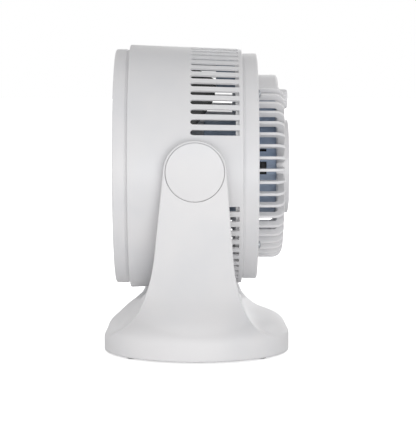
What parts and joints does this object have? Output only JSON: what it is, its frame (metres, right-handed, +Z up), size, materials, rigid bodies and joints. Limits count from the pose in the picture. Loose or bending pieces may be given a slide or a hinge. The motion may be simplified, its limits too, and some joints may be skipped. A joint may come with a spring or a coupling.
{
  "type": "desk air circulator fan",
  "caption": "Round drum-shaped desk fan that tilts in a flared U-shaped stand, with a slotted shroud, a basket of radial rear fins and a rotary speed knob.",
  "frame": {"origin": "on the table, under the middle of the base, at the bottom of the feet", "axes": "+Z up, the fan blows towards -Y, the tilt axis runs along X"},
  "size_m": [0.3006, 0.2036, 0.3374],
  "materials": {
    "white_abs": "fine satin moulded",
    "grey_plastic": "satin moulded",
    "black_plastic": "semi-gloss moulded",
    "black_rubber": "matt",
    "bright_steel": "zinc plated",
    "enamelled_copper": "enamelled wire"
  },
  "bodies": {
    "stand": {"stand_shell": "white_abs", "base_plate": "white_abs", "foot_1": "black_rubber", "foot_2": "black_rubber", "foot_3": "black_rubber", "foot_4": "black_rubber", "base_screw_1": "bright_steel", "base_screw_2": "bright_steel", "base_screw_3": "bright_steel", "base_screw_4": "bright_steel", "pivot_bolt_left": "bright_steel", "pivot_bolt_right": "bright_steel", "pivot_washer_left": "black_rubber", "pivot_washer_right": "black_rubber", "pivot_cap_left": "white_abs", "pivot_cap_right": "white_abs"},
    "head": {"front_ring": "white_abs", "front_grille": "white_abs", "front_cap": "white_abs", "air_duct": "white_abs", "shroud": "white_abs", "rear_ring": "white_abs", "rear_grille": "white_abs", "rear_cap": "white_abs", "cord_grommet": "black_rubber", "control_pod": "white_abs", "rotary_switch": "black_plastic", "motor_housing": "grey_plastic", "motor_bell_front": "bright_steel", "motor_bell_rear": "bright_steel", "stator_core": "bright_steel", "winding_front": "enamelled_copper", "winding_rear": "enamelled_copper", "bearing_front": "bright_steel", "bearing_rear": "bright_steel", "run_capacitor": "black_plastic", "motor_screw_1": "bright_steel", "motor_screw_2": "bright_steel", "motor_screw_3": "bright_steel", "motor_screw_4": "bright_steel", "ring_screw_1": "bright_steel", "ring_screw_2": "bright_steel", "ring_screw_3": "bright_steel", "ring_screw_4": "bright_steel", "cap_screw_1": "bright_steel", "cap_screw_2": "bright_steel", "pivot_boss_left": "white_abs", "pivot_boss_right": "white_abs", "pivot_nut_left": "bright_steel", "pivot_nut_right": "bright_steel"},
    "impeller": {"impeller": "black_plastic", "motor_shaft": "bright_steel", "rotor_core": "bright_steel", "impeller_nut": "bright_steel"},
    "knob": {"speed_knob": "white_abs", "switch_spindle": "bright_steel"}
  },
  "joints": [
    {"name": "tilt", "type": "hinge", "parent": "stand", "child": "head", "pos_m": [0, -0.0015, 0.2045], "axis": [-1, 0, 0], "range_deg": [-8, 90]},
    {"name": "impeller_spin", "type": "hinge", "parent": "head", "child": "impeller", "pos_m": [0, 0, 0.2045], "axis": [0, -1, 0], "continuous": true},
    {"name": "speed_select", "type": "hinge", "parent": "head", "child": "knob", "pos_m": [0, 0.09, 0.278], "axis": [0, -1, 0], "range_deg": [0, 135]}
  ]
}
